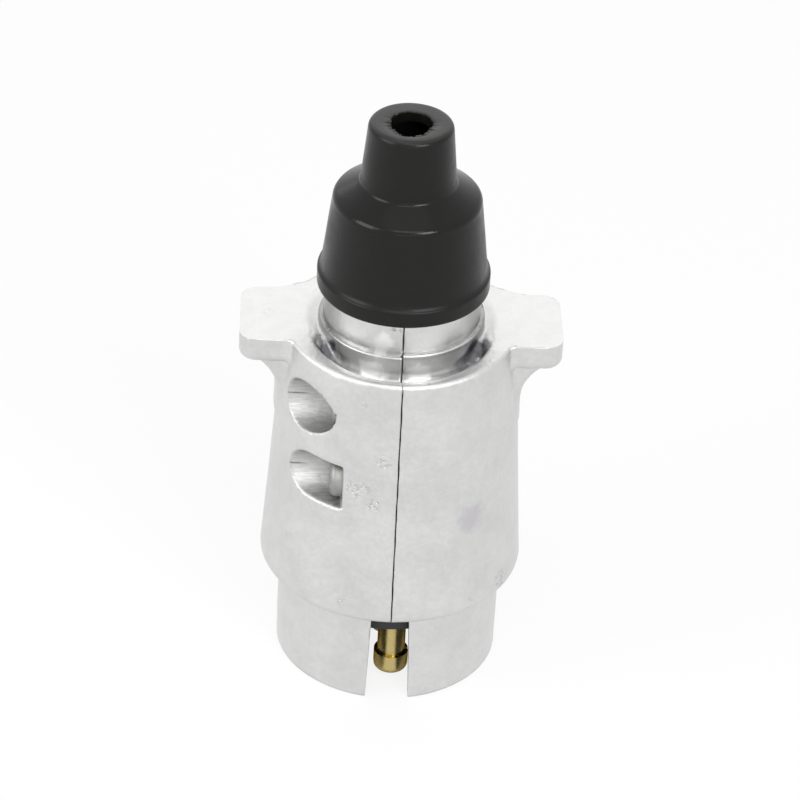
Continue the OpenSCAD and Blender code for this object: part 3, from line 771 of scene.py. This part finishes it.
class Finish:
    """A principled material with short ways to add nodes, in millimetres of the object's own space."""

    def __init__(self, name, colour, metallic, roughness):
        self.material = bpy.data.materials.new(name)
        self.material.use_nodes = True
        self.tree = self.material.node_tree
        self.shader = self.tree.nodes["Principled BSDF"]
        self.shader.inputs["Base Color"].default_value = (*colour, 1)
        self.shader.inputs["Metallic"].default_value = metallic
        self.shader.inputs["Roughness"].default_value = roughness
        place = self.node("ShaderNodeTexCoord", {}, "Object")
        self.place = self.vector("MULTIPLY", place, (1 / MM,) * 3)
        self.axes = list(self.node("ShaderNodeSeparateXYZ", {0: self.place}).node.outputs)

    def node(self, kind, inputs, output=0, **settings):
        """Adds a node to the material."""
        return add_node(self.tree, kind, inputs, output, **settings)

    def maths(self, operation, *values):
        """Adds a maths node to the material."""
        return maths(self.tree, operation, *values)

    def vector(self, operation, *values, output="Vector"):
        """Adds a vector maths node to the material."""
        return self.node("ShaderNodeVectorMath", dict(enumerate(values)), output, operation=operation)

    def product(self, result, *values):
        """All values multiplied."""
        for value in values:
            result = self.maths("MULTIPLY", result, value)
        return result

    def total(self, result, *values):
        """All values added up."""
        for value in values:
            result = self.maths("ADD", result, value)
        return result

    def radius(self):
        """Distance from the plug's axis."""
        return self.vector("LENGTH", self.vector("MULTIPLY", self.place, (1, 1, 0)), output="Value")

    def distance(self, place):
        """Distance from a place."""
        return self.vector("DISTANCE", self.place, place, output="Value")

    def noise(self, size, detail=3, roughness=0.5, stretch=(1, 1, 1)):
        """Noise from 0 to 1 with features of a size in millimetres."""
        inputs = {"Scale": 1 / size, "Detail": detail, "Roughness": roughness}
        inputs["Vector"] = self.vector("MULTIPLY", self.place, stretch)
        return self.node("ShaderNodeTexNoise", inputs)

    def ramp(self, value, low, high, start, end):
        """A value between low and high turned smoothly into one between start and end."""
        inputs = {"Value": value, "From Min": low, "From Max": high, "To Min": start, "To Max": end}
        return self.node("ShaderNodeMapRange", inputs, interpolation_type="SMOOTHSTEP")

    def spread(self, noise, start=0, end=1):
        """A noise spread out between start and end."""
        return self.ramp(noise, NOISE_LOW, NOISE_HIGH, start, end)

    def mixed(self, colour, other, share):
        """A colour with a share of another one."""
        return self.node("ShaderNodeMix", {"Factor": share, 6: colour, 7: (*other, 1)}, 2, data_type="RGBA")

    def shaded(self, colour, tone):
        """A colour times a tone."""
        inputs = {"Factor": 1.0, 6: (*colour, 1), 7: tone}
        return self.node("ShaderNodeMix", inputs, 2, data_type="RGBA", blend_type="MULTIPLY")

    def link(self, value, socket):
        """Leads a value to one of the shader's sockets."""
        self.tree.links.new(value, self.shader.inputs[socket])

    def bump(self, height, distance):
        """Unevenness of the surface, with its depth in millimetres."""
        inputs = {"Height": height, "Distance": distance * MM, "Strength": 1.0}
        self.link(self.node("ShaderNodeBump", inputs), "Normal")


def neck_share(finish):
    """1 on the neck and in the recess round it, and 0 on the rest of the castings."""
    near = finish.ramp(finish.radius(), DISH_R - 0.3, DISH_R + 1.2, 1, 0)
    return finish.product(near, finish.ramp(finish.axes[2], DISH_Z - 1, DISH_Z + 1, 0, 1))


def pocket_share(finish):
    """1 inside the screw pockets and 0 on the skin outside them."""
    x, y, z = finish.axes
    upper = (UPPER_SCREW_Y, UPPER_SCREW_Z, UPPER_POCKET_R)
    lower = (LOWER_SCREW_Y, LOWER_SCREW_Z, LOWER_POCKET_R)
    within = []
    for screw in (upper, lower):
        side_y, height, radius = screw
        v = finish.maths("SUBTRACT", finish.maths("ABSOLUTE", y), side_y)
        if screw is lower:
            v = finish.maths("MINIMUM", v, 0)
        w = finish.maths("SUBTRACT", z, NOSE_H + height)
        away = finish.maths("SQRT", finish.total(finish.product(v, v), finish.product(w, w)))
        within.append(finish.ramp(away, radius + 0.05, radius + 0.3, 1, 0))
    left_of_floor = finish.ramp(x, -POCKET_FLOOR - 0.1, -POCKET_FLOOR + 0.1, 1, 0)
    return finish.product(finish.maths("MAXIMUM", *within), left_of_floor)


def scuff_pits(finish):
    """Small pits that lie close together in the scuffed places."""
    scuffs = 0.0
    for place, reach, amount in SCUFFS:
        near = finish.ramp(finish.distance(place), 0.25 * reach, reach, amount, 0)
        scuffs = finish.maths("MAXIMUM", scuffs, near)
    return finish.product(scuffs, finish.ramp(finish.noise(0.7, 2, 0.5), 0.52, 0.58, 0, 1))


def alloy_shades(finish, neck, pocket, ridges, pits):
    """What darkens the alloy, each as a share of its brightness: scuffs, milled stripes, a thin line in the
    pockets, and painted shade.
    """
    x, y, z = finish.axes
    scuffed = finish.product(pits, SCUFF_SHADE)
    # Painted shade deep in the recess round the neck
    recess = finish.product(neck, finish.ramp(z, TOP_Z - 2.75, TOP_Z - 2.3, RECESS_PAINTED_SHADE, 0))
    # Painted shade, standing for dark reflections, on the sides of the neck above the recess
    sides = finish.ramp(finish.maths("ABSOLUTE", x), 10, 13, 0, NECK_SIDE_PAINTED_SHADE)
    sides = finish.product(sides, finish.ramp(z, TOP_Z - 1, TOP_Z + 0.4, 0, 1), neck)
    # Painted shade in a narrow band at the ledge
    from_ledge = finish.maths("ABSOLUTE", finish.maths("SUBTRACT", z, LEDGE_Z - LEDGE_DROP / 2))
    ledge = finish.product(neck, finish.ramp(from_ledge, 0.45, 0.75, LEDGE_PAINTED_SHADE, 0))
    # Painted shade along the nose's bottom edge
    rim = finish.ramp(z, 0.3, 0.9, RIM_PAINTED_SHADE, 0)
    # Painted shade inside the bore, round the contacts
    inside = finish.ramp(finish.radius(), BORE_R + 0.1, BORE_R + 0.5, INSIDE_PAINTED_SHADE, 0)
    inside = finish.product(inside, finish.ramp(z, INSIDE_PAINTED_SHADE_FADE, INSIDE_PAINTED_SHADE_TOP, 1, 0))
    # Milled stripes, with painted shade all over the pockets
    milled = finish.product(pocket, finish.ramp(ridges, 0.35, 0.65, MILLED_AND_PAINTED_SHADE_HIGH, MILLED_AND_PAINTED_SHADE_LOW))
    shades = [scuffed, recess, sides, ledge, rim, inside, milled]
    # A thin dark line painted across each pocket, a little below its screw
    for height in (UPPER_SCREW_Z, LOWER_SCREW_Z):
        from_line = finish.maths("ABSOLUTE", finish.maths("SUBTRACT", z, NOSE_H + height - POCKET_LINE_DROP))
        line = finish.product(pocket, finish.ramp(from_line, 0.1, 0.2, POCKET_LINE_SHADE, 0))
        shades.append(finish.product(line, finish.ramp(x, -16.5, -14.5, 1, 0)))
    return shades


def alloy_finish():
    """Tumbled cast skin: cloudy, finely pitted, smoother round the neck, milled in the screw pockets."""
    finish = Finish("alloy", ALLOY, 1, 0.4)
    neck = neck_share(finish)
    pocket = pocket_share(finish)
    clouds = finish.spread(finish.noise(9, 4, 0.6))
    blotches = finish.spread(finish.noise(2.6, 4, 0.55))
    specks = finish.spread(finish.noise(0.9, 3, 0.6))
    grain = finish.noise(0.3, 3, 0.6)
    ridges = finish.noise(0.28, 3, 0.6, (0.12, 0.5, 1.6))
    swell = finish.noise(6, 0, 0.4)
    pits = scuff_pits(finish)

    tone = finish.total(finish.ramp(clouds, 0, 1, 0.925, 0.975),
                        finish.ramp(specks, 0, 1, -0.02, 0.02),
                        finish.ramp(blotches, 0, 1, -0.015, 0.015))
    for shade in alloy_shades(finish, neck, pocket, ridges, pits):
        tone = finish.maths("SUBTRACT", tone, shade)
    colour = finish.shaded(ALLOY, tone)
    # A real stain on the body, painted shade in the recess and painted highlights round the neck
    for place, reach, amount, stain_and_painted_light in STAINS_AND_PAINTED_LIGHT:
        ragged = finish.ramp(blotches, 0, 1, 0.2 * reach, -0.2 * reach)
        away = finish.total(finish.distance(place), ragged)
        colour = finish.mixed(colour, stain_and_painted_light, finish.ramp(away, 0.4 * reach, reach, amount, 0))
    finish.link(colour, "Base Color")

    rough = finish.total(finish.ramp(clouds, 0, 1, 0.38, 0.44),
                         finish.ramp(specks, 0, 1, -0.03, 0.03),
                         finish.product(pocket, 0.1),
                         finish.product(neck, -0.08))
    finish.link(rough, "Roughness")

    # Depth of the bumps in millimetres: fine on the skin, slow swells on the polished neck
    skin = finish.total(finish.product(specks, 0.02), finish.product(grain, 0.012))
    depth = finish.total(finish.product(skin, finish.ramp(neck, 0, 1, 1, 0)),
                         finish.product(neck, swell, 0.35),
                         finish.product(pocket, ridges, 0.045),
                         finish.product(pits, -0.07))
    finish.bump(depth, 1)
    return finish.material


def rubber_finish():
    """Black rubber with dust and painted sheen lightening its end round the hole, and glossier on the slope
    below the nozzle.
    """
    finish = Finish("rubber", RUBBER, 0, 0.3)
    finish.shader.inputs["Specular IOR Level"].default_value = 0.23
    height = finish.axes[2]
    # Dust and painted sheen on the end face round the hole
    dust_and_sheen = finish.product(finish.ramp(height, BOOT_TOP - 0.5, BOOT_TOP - 0.1, 0, 1),
                          finish.ramp(finish.noise(2, 4, 0.6), 0.2, 0.7, 0.6, 1),
                          finish.ramp(finish.radius(), CABLE_HOLE_R + 0.3, CABLE_HOLE_R + 0.9, 0, 1))
    finish.link(finish.mixed((*RUBBER, 1), RUBBER_DUST_AND_SHEEN, dust_and_sheen), "Base Color")
    slope = finish.product(finish.ramp(height, NOZZLE_Z - 4, NOZZLE_Z - 2.8, 0, 1),
                           finish.ramp(height, NOZZLE_Z - 0.4, NOZZLE_Z + 1, 1, 0))
    rough = finish.spread(finish.noise(4, 4, 0.6), 0.26, 0.38)
    finish.link(finish.total(rough, finish.product(slope, -0.14)), "Roughness")
    finish.bump(finish.noise(0.5, 3, 0.6), 0.02)
    return finish.material


def brass_finish():
    """Turned brass with unevenly worn gloss."""
    finish = Finish("brass", BRASS, 1, 0.22)
    finish.shader.inputs["Specular Tint"].default_value = (*BRASS_TINT, 1)
    finish.link(finish.spread(finish.noise(1.2, 4, 0.6), 0.18, 0.32), "Roughness")
    return finish.material


def plain_finish(name, colour, metallic, roughness):
    """Plain moulded or turned surface with a little unevenness in its shade and gloss."""
    finish = Finish(name, colour, metallic, roughness)
    uneven = finish.noise(1.5, 4, 0.6)
    finish.link(finish.shaded(colour, finish.spread(uneven, 0.85, 1.1)), "Base Color")
    finish.link(finish.spread(uneven, roughness - 0.06, roughness + 0.06), "Roughness")
    finish.bump(finish.noise(0.4, 2, 0.5), 0.01)
    return finish.material


def set_material(node, material):
    """Gives a CAD node its material."""
    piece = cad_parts[node]
    piece.data.materials.clear()
    piece.data.materials.append(material)


bpy.context.scene.view_settings.view_transform = "Standard"
make_camera()
make_floor()
make_world()
for panel in PANELS:
    area_light(*panel)

alloy = alloy_finish()
rubber = rubber_finish()
brass = brass_finish()
plastic = plain_finish("plastic", PLASTIC, 0, 0.5)
steel = plain_finish("steel", STEEL, 1, 0.55)
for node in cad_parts:
    if node == "cable_boot":
        set_material(node, rubber)
    elif node == "pin_carrier":
        set_material(node, plastic)
    elif node.startswith("pin_"):
        set_material(node, brass)
    elif not node.endswith("_shell"):
        set_material(node, steel)

make_casting("left_shell", -1, LEDGE_Z - LEDGE_DROP, alloy)
make_casting("right_shell", 1, LEDGE_Z, alloy)
make_boot(rubber)
